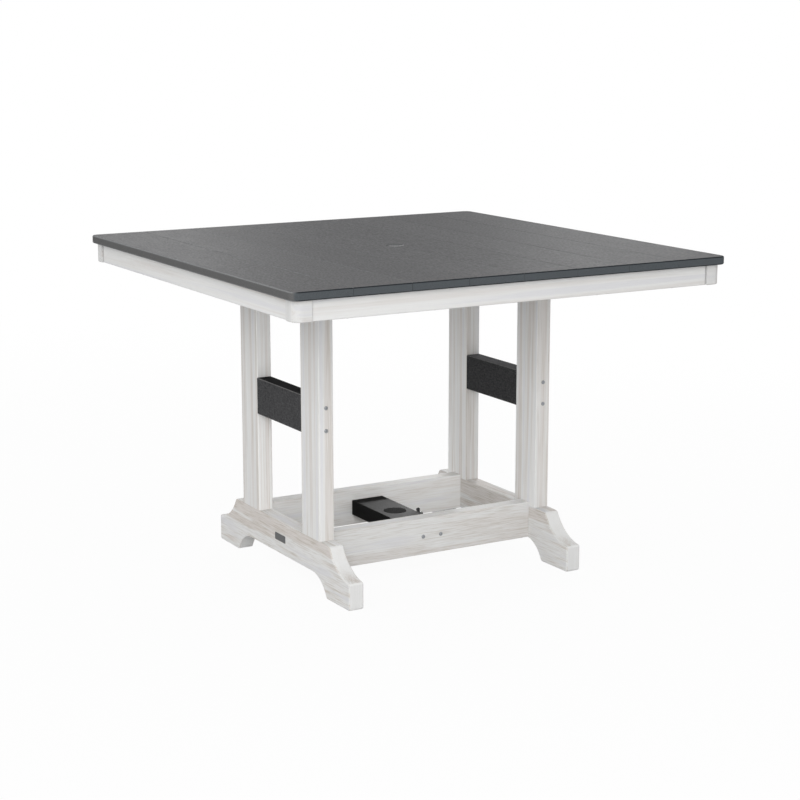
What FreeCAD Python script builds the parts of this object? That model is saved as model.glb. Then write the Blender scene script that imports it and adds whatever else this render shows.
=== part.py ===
import FreeCAD, Part
import math
import os

# Square dining table in plastic lumber: a plank top in an apron frame, two leg frames on arched
# foot rails, two stretchers, and an umbrella holder with a thumbscrew between the stretchers.
# Millimetres, +Z up, +X along the stretchers, +Y along the top boards. The origin is on the floor
# under the middle of the top.

# Top boards
table_height = 770.5
board_count = 8
board_width = 139.7
board_length = 1117.6
board_thickness = 19.05
top_corner_radius = 19.0
top_edge_chamfer = 2.0
seam_chamfer = 0.8

# Umbrella hole through the boards and the middle batten, with a counterbore in the boards for its plug
pole_hole_radius = 20.64
plug_ledge = 1.585
plug_seat_depth = 12.0
plug_clearance = 0.4
plug_proud = 0.5

# Apron and corner blocks
apron_inset = 14.0
apron_height = 46.0
apron_thickness = 25.4
block_size = 41.0
block_proud = 5.0
block_radius = 22.0

# Battens and headers under the top
batten_width = 88.9
batten_thickness = 19.05
batten_spacing = 298.45
batten_end_gap = 3.0
header_width = 88.9
header_thickness = 25.4

# Planks of the leg frames, stretchers and holder
plank_thickness = 38.1
plank_width = 88.9
plank_edge_chamfer = 1.5
post_gap = 228.6
stretcher_length = 556.7
crossrail_height = 413.2

# Foot rails
foot_length = 685.8
foot_height = 127.0
foot_tip_height = 63.5
foot_pad_length = 109.6
arch_height = 47.5
arch_radius = 76.2
cove_reach = 94.9
cove_radius = 114.3

# Umbrella holder and thumbscrew
holder_bore_radius = 28.575
insert_radius = 6.5
insert_recess = 2.0
stud_radius = 3.97
stud_tip_recess = 1.5
knob_standoff = 15.5
knob_hub_radius = 6.0
knob_hub_length = 19.0
knob_socket_depth = 12.0
wing_position = 9.0
wing_reach = 12.0
wing_lobe_radius = 4.75
wing_thickness = 4.4
wing_neck_width = 5.0
wing_root_width = 9.0
wing_angle = 20.0

# Bolts with low round heads
bolt_radius = 3.97
bolt_head_radius = 5.6
bolt_head_height = 2.8
bolt_bite = 45.0
crossrail_bolt_spacing = 53.2
holder_bolt_spacing = 48.6

# Clearances
hole_clearance = 0.1
running_clearance = 0.06
cut_margin = 2.0

# Places worked out from the sizes above
top_width = board_count * board_width
half_width = top_width / 2
half_length = board_length / 2
plug_seat_radius = pole_hole_radius + plug_ledge
plug_underside = table_height - plug_seat_depth
top_underside = table_height - board_thickness
batten_underside = top_underside - batten_thickness
header_underside = batten_underside - header_thickness
apron_underside = top_underside - apron_height
leg_x = (stretcher_length + plank_thickness) / 2
post_y = (post_gap + plank_width) / 2
post_outer_y = post_y + plank_width / 2
stretcher_outer_y = post_y + plank_thickness / 2
stretcher_z = arch_height + plank_width / 2
header_length = 2 * batten_spacing + batten_width

along_x = FreeCAD.Vector(1, 0, 0)
along_y = FreeCAD.Vector(0, 1, 0)
up = FreeCAD.Vector(0, 0, 1)
sides = (-1, 1)
left_right = (("left", -1), ("right", 1))
front_back = (("front", -1), ("back", 1))
corners = [(end + "_" + side, across, along) for end, along in front_back for side, across in left_right]


def point(x, y, z):
    return FreeCAD.Vector(x, y, z)


def save(shape, name):
    shape.exportStep("parts/" + name + ".step")


def bar(size, centre):
    corner = [middle - extent / 2 for middle, extent in zip(centre, size)]
    return Part.makeBox(size[0], size[1], size[2], point(*corner))


def edges_along(solid, axis):
    straight = [edge for edge in solid.Edges if isinstance(edge.Curve, Part.Line)]
    return [edge for edge in straight if abs(edge.Curve.Direction.dot(axis)) > 0.999]


def plank(size, centre, grain):
    solid = bar(size, centre)
    return solid.makeChamfer(plank_edge_chamfer, edges_along(solid, grain))


def rod(radius, start, direction, length):
    return Part.makeCylinder(radius, length, start, direction)


def upright_hole(radius, underside, thickness):
    return rod(radius, point(0, 0, underside - cut_margin), up, thickness + 2 * cut_margin)


def lines(*points):
    return [Part.makeLine(a, b) for a, b in zip(points, points[1:])]


def polygon(*points):
    return Part.Face(Part.makePolygon(points + points[:1]))


def turned(*points):
    return polygon(*points).revolve(point(0, 0, 0), up, 360)


def placed(shape, position, direction):
    moved = shape.copy()
    moved.Placement = FreeCAD.Placement(position, FreeCAD.Rotation(up, direction)) * shape.Placement
    return moved


def drilled(solid, seats, depth):
    radius = bolt_radius + hole_clearance
    for seat, outward in seats:
        solid = solid.cut(rod(radius, seat + outward * cut_margin, outward * -1, depth + cut_margin))
    return solid


# A bolt stands on the origin with its head above it and its shank below.
def round_bolt(length):
    head = Part.makeCylinder(bolt_head_radius, bolt_head_height)
    return head.fuse(rod(bolt_radius, point(0, 0, 0), up * -1, length)).removeSplitter()


def bolts(length, seats):
    return Part.makeCompound([placed(round_bolt(length), seat, outward) for seat, outward in seats])


# Seats of the bolts: the point under the head and the way the head faces.
crossrail_bolt_seats = [
    (point(x * leg_x, y * post_outer_y, crossrail_height + z * crossrail_bolt_spacing / 2), along_y * y)
    for x in sides
    for y in sides
    for z in sides
]
holder_bolt_seats = [
    (point(x * holder_bolt_spacing / 2, y * stretcher_outer_y, stretcher_z), along_y * y)
    for x in sides
    for y in sides
]
crossrail_bolt_length = plank_width + bolt_bite
holder_bolt_length = plank_thickness + bolt_bite


def pole_hole():
    return upright_hole(pole_hole_radius, batten_underside, batten_thickness + board_thickness)


def top_slab():
    middle_z = top_underside + board_thickness / 2
    outline = bar((top_width, board_length, board_thickness), (0, 0, middle_z))
    slab = outline.makeFillet(top_corner_radius, edges_along(outline, up))
    rims = [edge for edge in slab.Edges if edge.BoundBox.ZLength < 1e-6]
    return slab.makeChamfer(top_edge_chamfer, rims)


def board_blank(number):
    left = number * board_width - half_width
    right = left + board_width
    left_ease = seam_chamfer if number > 0 else 0
    right_ease = seam_chamfer if number < board_count - 1 else 0
    y = -half_length
    section = [point(left, y, top_underside), point(right, y, top_underside)]
    section.append(point(right, y, table_height - right_ease))
    if right_ease:
        section.append(point(right - right_ease, y, table_height))
    section.append(point(left + left_ease, y, table_height))
    if left_ease:
        section.append(point(left, y, table_height - left_ease))
    return polygon(*section).extrude(along_y * board_length)


def make_top_boards():
    slab = top_slab()
    plug_seat = rod(plug_seat_radius, point(0, 0, plug_underside), up, plug_seat_depth + cut_margin)
    slab = slab.cut(pole_hole()).cut(plug_seat)
    for number in range(board_count):
        save(slab.common(board_blank(number)), "top_board_" + str(number + 1))


def make_plug():
    radius = plug_seat_radius - plug_clearance
    save(rod(radius, point(0, 0, plug_underside), up, plug_seat_depth + plug_proud), "umbrella_plug")


def make_aprons():
    block_reach = block_size - block_proud
    long_x = 2 * (half_width - apron_inset - block_reach)
    long_y = 2 * (half_length - apron_inset - block_reach)
    z = apron_underside + apron_height / 2
    x = half_width - apron_inset - apron_thickness / 2
    y = half_length - apron_inset - apron_thickness / 2
    aprons = {
        "apron_front": ((long_x, apron_thickness, apron_height), (0, -y, z), along_x),
        "apron_back": ((long_x, apron_thickness, apron_height), (0, y, z), along_x),
        "apron_left": ((apron_thickness, long_y, apron_height), (-x, 0, z), along_y),
        "apron_right": ((apron_thickness, long_y, apron_height), (x, 0, z), along_y),
    }
    for name, (size, centre, grain) in aprons.items():
        board = bar(size, centre)
        lower = [edge for edge in edges_along(board, grain) if edge.CenterOfMass.z < z]
        save(board.makeChamfer(plank_edge_chamfer, lower), name)


def make_corner_blocks():
    z = apron_underside + apron_height / 2
    x = half_width - apron_inset + block_proud - block_size / 2
    y = half_length - apron_inset + block_proud - block_size / 2
    for name, across, along in corners:
        block = bar((block_size, block_size, apron_height), (across * x, along * y, z))
        outer = [
            edge
            for edge in edges_along(block, up)
            if edge.CenterOfMass.x * across > x and edge.CenterOfMass.y * along > y
        ]
        block = block.makeFillet(block_radius, outer)
        rim = [edge for edge in block.Edges if edge.BoundBox.ZMax < apron_underside + 1e-6]
        save(block.makeChamfer(plank_edge_chamfer, rim), "corner_block_" + name)


def make_battens():
    length = 2 * (half_width - apron_inset - apron_thickness - batten_end_gap)
    z = batten_underside + batten_thickness / 2
    size = (length, batten_width, batten_thickness)
    for name, along in front_back:
        save(plank(size, (0, along * batten_spacing, z), along_x), "batten_" + name)
    save(plank(size, (0, 0, z), along_x).cut(pole_hole()), "batten_middle")


def make_headers():
    z = header_underside + header_thickness / 2
    size = (header_width, header_length, header_thickness)
    for name, across in left_right:
        save(plank(size, (across * leg_x, 0, z), along_y), "header_" + name)


def make_posts():
    length = header_underside - foot_height
    z = foot_height + length / 2
    size = (plank_thickness, plank_width, length)
    for name, across, along in corners:
        post = plank(size, (across * leg_x, along * post_y, z), up)
        save(drilled(post, crossrail_bolt_seats, crossrail_bolt_length), "post_" + name)


def make_crossrails():
    size = (plank_thickness, post_gap, plank_width)
    for name, across in left_right:
        rail = plank(size, (across * leg_x, 0, crossrail_height), along_y)
        save(drilled(rail, crossrail_bolt_seats, crossrail_bolt_length), "crossrail_" + name)


# Side outline of a foot rail: flat pads, an arch between them, upright tips and a cove above each tip.
def foot_outline():
    tip = foot_length / 2
    pad = tip - foot_pad_length
    spring = pad - math.sqrt(arch_radius ** 2 - (arch_radius - arch_height) ** 2)
    shoulder = tip - cove_reach
    start = point(0, shoulder, foot_height)
    end = point(0, tip, foot_tip_height)
    chord = end - start
    square = point(0, -chord.z, chord.y) * (1 / chord.Length)
    sagitta = cove_radius - math.sqrt(cove_radius ** 2 - chord.Length ** 2 / 4)
    cove_middle = (start + end) * 0.5 - square * sagitta
    turn = math.acos((arch_radius - arch_height) / arch_radius) / 2
    arch_middle_y = spring + arch_radius * math.sin(turn)
    arch_middle_z = arch_height - arch_radius * (1 - math.cos(turn))
    edges = lines(point(0, -spring, arch_height), point(0, spring, arch_height))
    edges += lines(point(0, -shoulder, foot_height), start)
    for side in sides:
        ends = (point(0, side * spring, arch_height), point(0, side * pad, 0))
        arch_middle = point(0, side * arch_middle_y, arch_middle_z)
        edges.append(Part.Arc(ends[0], arch_middle, ends[1]).toShape())
        edges += lines(ends[1], point(0, side * tip, 0), point(0, side * tip, foot_tip_height))
        cove = [point(0, side * spot.y, spot.z) for spot in (start, cove_middle, end)]
        edges.append(Part.Arc(*cove).toShape())
    return Part.Face(Part.Wire(Part.sortEdges(edges)[0]))


def make_foot_rails():
    blank = foot_outline().extrude(along_x * plank_thickness)
    outline_edges = [edge for edge in blank.Edges if edge.BoundBox.XLength < 1e-6]
    blank = blank.makeChamfer(plank_edge_chamfer, outline_edges)
    for name, across in left_right:
        rail = blank.copy()
        rail.translate(along_x * (across * leg_x - plank_thickness / 2))
        save(rail, "foot_rail_" + name)


def make_stretchers():
    size = (stretcher_length, plank_thickness, plank_width)
    for name, along in front_back:
        stretcher = plank(size, (0, along * post_y, stretcher_z), along_x)
        save(drilled(stretcher, holder_bolt_seats, holder_bolt_length), "stretcher_" + name)


def make_holder():
    length = 2 * post_y - plank_thickness
    holder = plank((plank_width, length, plank_thickness), (0, 0, stretcher_z), along_y)
    bore = upright_hole(holder_bore_radius, stretcher_z - plank_thickness / 2, plank_thickness)
    insert_hole = rod(insert_radius + hole_clearance, point(0, 0, stretcher_z), along_x, plank_width)
    holder = drilled(holder.cut(bore), holder_bolt_seats, holder_bolt_length)
    save(holder.cut(insert_hole), "umbrella_holder")


# The thumbscrew's pieces are turned about the upright axis and laid along +X with zero at the holder's side.
def on_clamp_axis(shape):
    return placed(shape, point(plank_width / 2, 0, stretcher_z), along_x)


def make_insert():
    inner = holder_bore_radius + insert_recess - plank_width / 2
    bore = stud_radius + running_clearance
    insert = turned(
        point(bore, 0, inner),
        point(insert_radius, 0, inner),
        point(insert_radius, 0, 0),
        point(bore, 0, 0),
    )
    save(on_clamp_axis(insert), "clamp_insert")


def make_stud():
    tip = holder_bore_radius + stud_tip_recess - plank_width / 2
    end = knob_standoff + knob_socket_depth
    stud = rod(stud_radius, point(0, 0, tip), up, end - tip)
    save(on_clamp_axis(stud), "clamp_stud")


def wing():
    near_y = -wing_thickness / 2
    neck = polygon(
        point(0, near_y, wing_position - wing_root_width / 2),
        point(wing_reach, near_y, wing_position - wing_neck_width / 2),
        point(wing_reach, near_y, wing_position + wing_neck_width / 2),
        point(0, near_y, wing_position + wing_root_width / 2),
    )
    lobe = rod(wing_lobe_radius, point(wing_reach, near_y, wing_position), along_y, wing_thickness)
    return neck.extrude(along_y * wing_thickness).fuse(lobe)


def make_knob():
    hub = Part.makeCylinder(knob_hub_radius, knob_hub_length)
    opposite = wing()
    opposite.rotate(point(0, 0, 0), up, 180)
    knob = hub.fuse([wing(), opposite]).removeSplitter()
    socket_length = knob_socket_depth + cut_margin
    knob = knob.cut(rod(stud_radius + running_clearance, point(0, 0, -cut_margin), up, socket_length))
    knob.rotate(point(0, 0, 0), up, 180 - wing_angle)
    knob.translate(up * knob_standoff)
    save(on_clamp_axis(knob), "clamp_knob")


def make_bolts():
    save(bolts(crossrail_bolt_length, crossrail_bolt_seats), "crossrail_bolts")
    save(bolts(holder_bolt_length, holder_bolt_seats), "holder_bolts")


os.makedirs("parts", exist_ok=True)
make_top_boards()
make_plug()
make_aprons()
make_corner_blocks()
make_battens()
make_headers()
make_posts()
make_crossrails()
make_foot_rails()
make_stretchers()
make_holder()
make_insert()
make_stud()
make_knob()
make_bolts()
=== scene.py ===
import math
import bmesh
import bpy
from mathutils import Matrix, Vector


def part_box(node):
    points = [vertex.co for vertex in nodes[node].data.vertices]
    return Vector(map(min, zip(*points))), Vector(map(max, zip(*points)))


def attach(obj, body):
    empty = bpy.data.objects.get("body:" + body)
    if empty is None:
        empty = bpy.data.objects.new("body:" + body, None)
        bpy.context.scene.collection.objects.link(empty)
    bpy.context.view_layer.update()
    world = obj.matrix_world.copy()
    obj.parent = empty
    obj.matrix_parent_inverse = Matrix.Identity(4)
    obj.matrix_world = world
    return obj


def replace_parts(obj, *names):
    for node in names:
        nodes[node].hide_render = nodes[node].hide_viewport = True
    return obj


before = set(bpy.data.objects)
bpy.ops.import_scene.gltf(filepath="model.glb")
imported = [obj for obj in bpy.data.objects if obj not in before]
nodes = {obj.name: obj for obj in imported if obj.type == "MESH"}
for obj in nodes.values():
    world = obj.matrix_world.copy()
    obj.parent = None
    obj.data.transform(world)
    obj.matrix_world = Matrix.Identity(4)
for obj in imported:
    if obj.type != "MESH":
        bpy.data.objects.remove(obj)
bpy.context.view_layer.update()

scene = bpy.context.scene
sides = (-1, 1)


# Screen colour, 0 to 255, to the linear colour that a shader socket takes
def paint(red, green, blue):
    linear = [((c / 255 + 0.055) / 1.055) ** 2.4 for c in (red, green, blue)]
    return (*linear, 1.0)


def shade(colour, tone):
    return (*[c * tone for c in colour[:3]], 1.0)


# One shader node, with its sockets set or linked
def put(tree, kind, sockets=None, **settings):
    node = tree.nodes.new(kind)
    for key, value in settings.items():
        setattr(node, key, value)
    for key, value in (sockets or {}).items():
        if isinstance(value, bpy.types.NodeSocket):
            tree.links.new(value, node.inputs[key])
        else:
            node.inputs[key].default_value = value
    return node


def sums(tree, operation, first, second=0.0, clamp=False):
    sockets = {0: first, 1: second}
    return put(tree, "ShaderNodeMath", sockets, operation=operation, use_clamp=clamp).outputs[0]


# Eases a value from 0 at low to top at high; low may be the larger one
def fade(tree, value, low, high, top=1.0):
    sockets = {"Value": value, "From Min": low, "From Max": high, "To Max": top}
    return put(tree, "ShaderNodeMapRange", sockets, interpolation_type="SMOOTHSTEP").outputs[0]


# Spreads a value evenly from low to high
def vary(tree, value, low, high, first=0.0, last=1.0):
    sockets = {"Value": value, "From Min": first, "From Max": last, "To Min": low, "To Max": high}
    return put(tree, "ShaderNodeMapRange", sockets).outputs[0]


# The colour mix has its amount at socket 0 and its two colours at 6 and 7
def blendPaint(tree, amount, under, over, how="MIX"):
    sockets = {0: amount, 6: under, 7: over}
    return put(tree, "ShaderNodeMix", sockets, data_type="RGBA", blend_type=how).outputs[2]


# Where a point of the surface lies, in the table's own metres
def surfaceSpot(tree):
    return put(tree, "ShaderNodeTexCoord").outputs["Object"]


def axesOf(tree, vector):
    return put(tree, "ShaderNodeSeparateXYZ", {0: vector}).outputs


def lengthOf(tree, vector):
    return put(tree, "ShaderNodeVectorMath", {0: vector}, operation="LENGTH").outputs["Value"]


# Each seed takes its finish from another part of the noise
noiseKit = {"seedSteps": (7.31, 3.77, 5.13), "wrap": 50}


# Noise in the table's own metres: grainSize gives its spread along x, y and z
def grainNoise(tree, grainSize, seed, detail=2.0, twist=0.0):
    stretch = [1 / size for size in grainSize]
    shift = [seed * step % noiseKit["wrap"] for step in noiseKit["seedSteps"]]
    sockets = {"Vector": surfaceSpot(tree), "Scale": stretch, "Location": shift}
    place = put(tree, "ShaderNodeMapping", sockets).outputs[0]
    sockets = {"Vector": place, "Scale": 1.0, "Detail": detail, "Distortion": twist}
    return put(tree, "ShaderNodeTexNoise", sockets).outputs[0]


def spread(grain, across, along):
    return [along if axis == grain else across for axis in range(3)]


# How much a face looks along x, y and z, from 0 to 1 each
def facing(tree):
    normal = put(tree, "ShaderNodeTexCoord").outputs["Normal"]
    size = put(tree, "ShaderNodeVectorMath", {0: normal}, operation="ABSOLUTE")
    return axesOf(tree, size.outputs[0])


def newFinish(name):
    finish = bpy.data.materials.new(name)
    finish.use_nodes = True
    return finish, finish.node_tree, finish.node_tree.nodes["Principled BSDF"]


def coat(tree, surface, colour, rough):
    tree.links.new(colour, surface.inputs["Base Color"])
    tree.links.new(rough, surface.inputs["Roughness"])


def relief(tree, surface, height, kit):
    sockets = {"Height": height, "Distance": kit["reliefDepth"], "Strength": kit["reliefStrength"]}
    bump = put(tree, "ShaderNodeBump", sockets)
    tree.links.new(bump.outputs[0], surface.inputs["Normal"])


# Whitewashed plastic lumber: soft tinted bands, tan streaks and white brush marks along the grain.
# A range says where a noise, or the way a face looks, starts to show and where it shows in full
whitewash = {
    "base": paint(216, 216, 215),
    "warmBand": paint(204, 199, 195),
    "coolBand": paint(209, 209, 211),
    "tanStreak": paint(178, 171, 161),
    "brushMark": paint(227, 227, 227),
    "cutFace": paint(223, 223, 222),
    "endFace": paint(215, 215, 214),
    # jointLine is painted shade, a grey line where an apron meets its corner block
    "jointLine": paint(150, 150, 149),
    "bandWidth": 0.014, "bandLength": 1.1,
    "warmRange": (0.53, 0.4), "warmth": 0.9, "coolRange": (0.55, 0.66), "coolness": 0.9,
    "streakWidth": 0.003, "streakLength": 0.15, "streakRange": (0.44, 0.66), "streakAmount": 0.66,
    "tanReach": 0.64, "tanEnd": 0.38,
    "brushWidth": 0.0024, "brushLength": 0.2, "brushRange": (0.52, 0.74), "brushAmount": 0.4,
    "fibreWidth": 0.0008, "fibreLength": 0.04, "fibreTone": 0.06,
    "broadRange": (0.6, 0.9), "leanRange": (0.5, 0.9),
    "cutRange": (0.2, 0.55), "cutSideRange": (0.5, 0.1), "cutAmount": 0.85,
    "sawWidth": 0.0028, "sawHeight": 0.12, "sawDepth": 0.03, "sawRange": (0.45, 0.7), "sawAmount": 0.6,
    "endRange": (0.93, 0.995), "jointGaps": (0.004, 0.001), "jointAmount": 0.7,
    "roughness": 0.58, "smoother": 0.1, "rougher": 0.12,
    "specular": 0.01,  # low, as on the dark lumber, because gloss meets a white room
    "fibreRelief": 0.5, "streakRelief": -0.8, "reliefDepth": 0.0002, "reliefStrength": 0.5,
}


# The plank's own kit: grain and broad axes, tones of its broad and narrow faces, which paint light and shade
# on them, and how banded and streaked it is; lean makes the bands of a broad face warmer or cooler with
# height
def whitewashedFinish(name, plank, seed):
    kit, grain, broad = {**whitewash, **plank}, plank["grain"], plank["broad"]
    finish, tree, surface = newFinish(name)
    look = facing(tree)
    spot = axesOf(tree, surfaceSpot(tree))

    def alongGrain(layer, ownSeed, detail, twist=0.0):
        size = spread(grain, kit[layer + "Width"], kit[layer + "Length"])
        return grainNoise(tree, size, seed + ownSeed, detail, twist)

    band = alongGrain("band", ownSeed=0.0, detail=2.0)
    streak = alongGrain("streak", ownSeed=1.7, detail=4.0, twist=0.6)
    brush = alongGrain("brush", ownSeed=4.1, detail=3.0, twist=0.2)
    fibre = alongGrain("fibre", ownSeed=6.3, detail=2.0)
    if "lean" in kit:
        axis, middle, slope = kit["lean"]
        rise = sums(tree, "SUBTRACT", spot[axis], middle)
        onSide = fade(tree, look[broad], *kit["leanRange"], slope)
        band = sums(tree, "ADD", band, sums(tree, "MULTIPLY", rise, onSide))
    warm = fade(tree, band, *kit["warmRange"], kit["warmth"])
    colour = blendPaint(tree, warm, kit["base"], kit["warmBand"])
    cool = fade(tree, band, *kit["coolRange"], kit["coolness"])
    colour = blendPaint(tree, cool, colour, kit["coolBand"])
    tanZone = fade(tree, band, kit["tanReach"], kit["tanEnd"])
    tanMost = kit["streakAmount"] * kit["streaks"]
    tanAmount = sums(tree, "MULTIPLY", fade(tree, streak, *kit["streakRange"], tanMost), tanZone)
    colour = blendPaint(tree, tanAmount, colour, kit["tanStreak"])
    brushMost = kit["brushAmount"] * (0.5 + 0.5 * kit["streaks"])  # half stays on a plain plank
    brushed = fade(tree, brush, *kit["brushRange"], brushMost)
    colour = blendPaint(tree, brushed, colour, kit["brushMark"])
    # Coves and arches, then the sawn ends, then a line of painted shade where an apron meets its corner block
    cut = fade(tree, look[grain], *kit["cutRange"], kit["cutAmount"])
    curved = sums(tree, "MULTIPLY", cut, fade(tree, look[broad], *kit["cutSideRange"]))
    colour = blendPaint(tree, curved, colour, kit["cutFace"])
    sawRun, sawLength = (2, kit["sawHeight"]) if grain < 2 else (1, kit["sawDepth"])
    sawLine = grainNoise(tree, spread(sawRun, kit["sawWidth"], sawLength), seed + 8.8, detail=3.0)
    sawn = fade(tree, sawLine, *kit["sawRange"], kit["sawAmount"])
    endPaint = blendPaint(tree, sawn, kit["endFace"], kit["brushMark"])
    colour = blendPaint(tree, fade(tree, look[grain], *kit["endRange"]), colour, endPaint)
    # Painted shade along an apron's ends, beside the corner blocks
    if "jointAt" in kit:
        reach = sums(tree, "ABSOLUTE", spot[grain])
        first, last = (kit["jointAt"] - gap for gap in kit["jointGaps"])
        joint = fade(tree, reach, first, last, kit["jointAmount"])
        colour = blendPaint(tree, joint, colour, kit["jointLine"])
    # Tones are painted light and shade: a plank's broad or narrow faces painted lighter or darker by how
    # light falls on them
    broadTone, narrowTone = kit["tones"]
    tone = vary(tree, fade(tree, look[broad], *kit["broadRange"]), narrowTone, broadTone)
    fibreTone = vary(tree, fibre, 1 - kit["fibreTone"], 1 + kit["fibreTone"])
    colour = blendPaint(tree, 1.0, colour, sums(tree, "MULTIPLY", tone, fibreTone), "MULTIPLY")
    rough = vary(tree, streak, kit["roughness"] - kit["smoother"], kit["roughness"] + kit["rougher"])
    coat(tree, surface, colour, rough)
    surface.inputs["Specular IOR Level"].default_value = kit["specular"]
    raised = sums(tree, "MULTIPLY", fibre, kit["fibreRelief"])
    sunk = sums(tree, "MULTIPLY", tanAmount, kit["streakRelief"])
    relief(tree, surface, sums(tree, "ADD", raised, sunk), kit)
    return finish


# Dark plastic lumber: what the top boards, the crossrails and the umbrella holder share
darkLumber = {
    "mottleSize": (0.012, 0.09), "scratchSize": (0.0007, 0.03), "toneRange": (0.2, 0.8),
    "wideRange": (0.55, 0.9), "endRange": (0.6, 0.85), "cornerRange": (0.12, 0.4),
    "outerWidth": 0.002, "boreSkin": (0.0014, 0.0002), "roughSpread": 0.08,
    "speckleRelief": 0.8, "scratchRelief": 0.3, "reliefStrength": 0.5,
}


# Fine speckle with a dull sheen; narrow sides, sawn ends and eased corners have paint of their own, partly
# painted light and shade
def darkFinish(name, own, seed):
    kit, grain, wideFace = {**darkLumber, **own}, own["grain"], own["wideFace"]
    across = 3 - grain - wideFace  # the third axis
    finish, tree, surface = newFinish(name)
    look = facing(tree)
    # Each noise has a seed of its own
    speckle = grainNoise(tree, (kit["speckleSize"],) * 3, seed, detail=3.0)
    fleck = grainNoise(tree, spread(grain, *kit["fleckSize"]), seed + 1.3, detail=1.0)
    mottle = grainNoise(tree, spread(grain, *kit["mottleSize"]), seed + 2.9, detail=3.0)
    scratch = grainNoise(tree, spread(grain, *kit["scratchSize"]), seed + 5.2, detail=2.0)

    def cornerOf(first, second):
        slant = sums(tree, "MULTIPLY", look[first], look[second])
        return fade(tree, slant, *kit["cornerRange"])

    wide = fade(tree, look[wideFace], *kit["wideRange"])
    colour = blendPaint(tree, wide, kit["narrowSide"], kit["face"])
    colour = blendPaint(tree, fade(tree, look[grain], *kit["endRange"]), colour, kit["sawnEnd"])
    # Painted shade on the end edges and in the end seams, painted light on the long edges
    corners = {"endArris": (grain, wideFace), "longArris": (across, wideFace), "endSeam": (across, grain)}
    for edge, axes in corners.items():
        if edge in kit:
            colour = blendPaint(tree, cornerOf(*axes), colour, kit[edge])
    # Painted highlight along the outer long edges
    if "outerArris" in kit:
        reach = sums(tree, "ABSOLUTE", axesOf(tree, surfaceSpot(tree))[across])
        outer = fade(tree, reach, kit["outerReach"] - kit["outerWidth"], kit["outerReach"])
        outer = sums(tree, "MULTIPLY", cornerOf(across, wideFace), outer)
        colour = blendPaint(tree, outer, colour, kit["outerArris"])
    # Painted light on the bore's inner wall
    if "boreWall" in kit:
        sockets = {0: surfaceSpot(tree), 1: (1, 1, 0)}
        level = put(tree, "ShaderNodeVectorMath", sockets, operation="MULTIPLY").outputs[0]
        first, last = (kit["boreRadius"] + skin for skin in kit["boreSkin"])
        bore = fade(tree, lengthOf(tree, level), first, last)
        colour = blendPaint(tree, bore, colour, kit["boreWall"])
    for noise, depth, where in ((speckle, kit["speckle"], 1.0), (fleck, kit["fleck"], wide)):
        tone = vary(tree, noise, 1 - depth, 1 + depth, *kit["toneRange"])
        colour = blendPaint(tree, where, colour, tone, "MULTIPLY")
    drift = vary(tree, mottle, 1 - kit["mottle"], 1 + kit["mottle"])
    colour = blendPaint(tree, 1.0, colour, drift, "MULTIPLY")
    roughness, roughSpread = kit["roughness"], kit["roughSpread"]
    rough = vary(tree, mottle, roughness - roughSpread, roughness + roughSpread)
    dull = fade(tree, wide, 1.0, 0.0, kit["sideDullness"])
    coat(tree, surface, colour, sums(tree, "ADD", rough, dull, clamp=True))
    surface.inputs["Specular IOR Level"].default_value = kit["specular"]
    raised = sums(tree, "MULTIPLY", speckle, kit["speckleRelief"])
    scored = sums(tree, "MULTIPLY", scratch, kit["scratchRelief"])
    relief(tree, surface, sums(tree, "ADD", raised, scored), kit)
    return finish


# Metal with fine drawn lines and faint spots
drawnMetal = {
    "lineSize": (0.0006, 0.0006, 0.004), "lineSeed": 3.3, "spotSize": 0.0025, "spotSeed": 8.4,
    "roughSpread": 0.1, "metallic": 1.0, "reliefDepth": 0.00004, "reliefStrength": 0.3,
}


def metalFinish(name, own):
    kit = {**drawnMetal, **own}
    finish, tree, surface = newFinish(name)
    drawn = grainNoise(tree, kit["lineSize"], kit["lineSeed"], detail=3.0)
    spots = grainNoise(tree, (kit["spotSize"],) * 3, kit["spotSeed"], detail=2.0)
    tone = vary(tree, spots, 1 - kit["wear"], 1 + kit["wear"])
    roughness, roughSpread = kit["roughness"], kit["roughSpread"]
    rough = vary(tree, drawn, roughness - roughSpread, roughness + roughSpread)
    coat(tree, surface, blendPaint(tree, 1.0, kit["colour"], tone, "MULTIPLY"), rough)
    surface.inputs["Metallic"].default_value = kit["metallic"]
    relief(tree, surface, drawn, kit)
    return finish


# Smooth moulded plastic with a faint orange-peel skin
mouldedPlastic = {
    "skinSize": 0.0009, "skinSeed": 1.9, "cloudSize": 0.006, "cloudSeed": 6.6, "cloudTone": 0.15,
    "rimTop": (0.97, 0.85), "rimFoot": (0.2, 0.45), "rimSide": (0.15, 0.4),
    "roughSpread": 0.06, "reliefDepth": 0.00005, "reliefStrength": 0.4,
}


# A painted highlight, the rim colour, shows on slanted faces that look forward or back
def mouldedFinish(name, own):
    kit = {**mouldedPlastic, **own}
    finish, tree, surface = newFinish(name)
    skin = grainNoise(tree, (kit["skinSize"],) * 3, kit["skinSeed"], detail=2.0)
    cloud = grainNoise(tree, (kit["cloudSize"],) * 3, kit["cloudSeed"], detail=2.0)
    tone = vary(tree, cloud, 1 - kit["cloudTone"], 1 + kit["cloudTone"])
    colour = kit["colour"]
    if "rim" in kit:
        look = facing(tree)
        notFlat, notUpright = (fade(tree, look[2], *kit[limit]) for limit in ("rimTop", "rimFoot"))
        slant = sums(tree, "MULTIPLY", notFlat, notUpright)
        rimHighlight = sums(tree, "MULTIPLY", slant, fade(tree, look[1], *kit["rimSide"]))
        colour = blendPaint(tree, rimHighlight, colour, kit["rim"])
    roughness, roughSpread = kit["roughness"], kit["roughSpread"]
    rough = vary(tree, skin, roughness - roughSpread, roughness + roughSpread)
    coat(tree, surface, blendPaint(tree, 1.0, colour, tone, "MULTIPLY"), rough)
    surface.inputs["Specular IOR Level"].default_value = kit["specular"]
    relief(tree, surface, skin, kit)
    return finish


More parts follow.
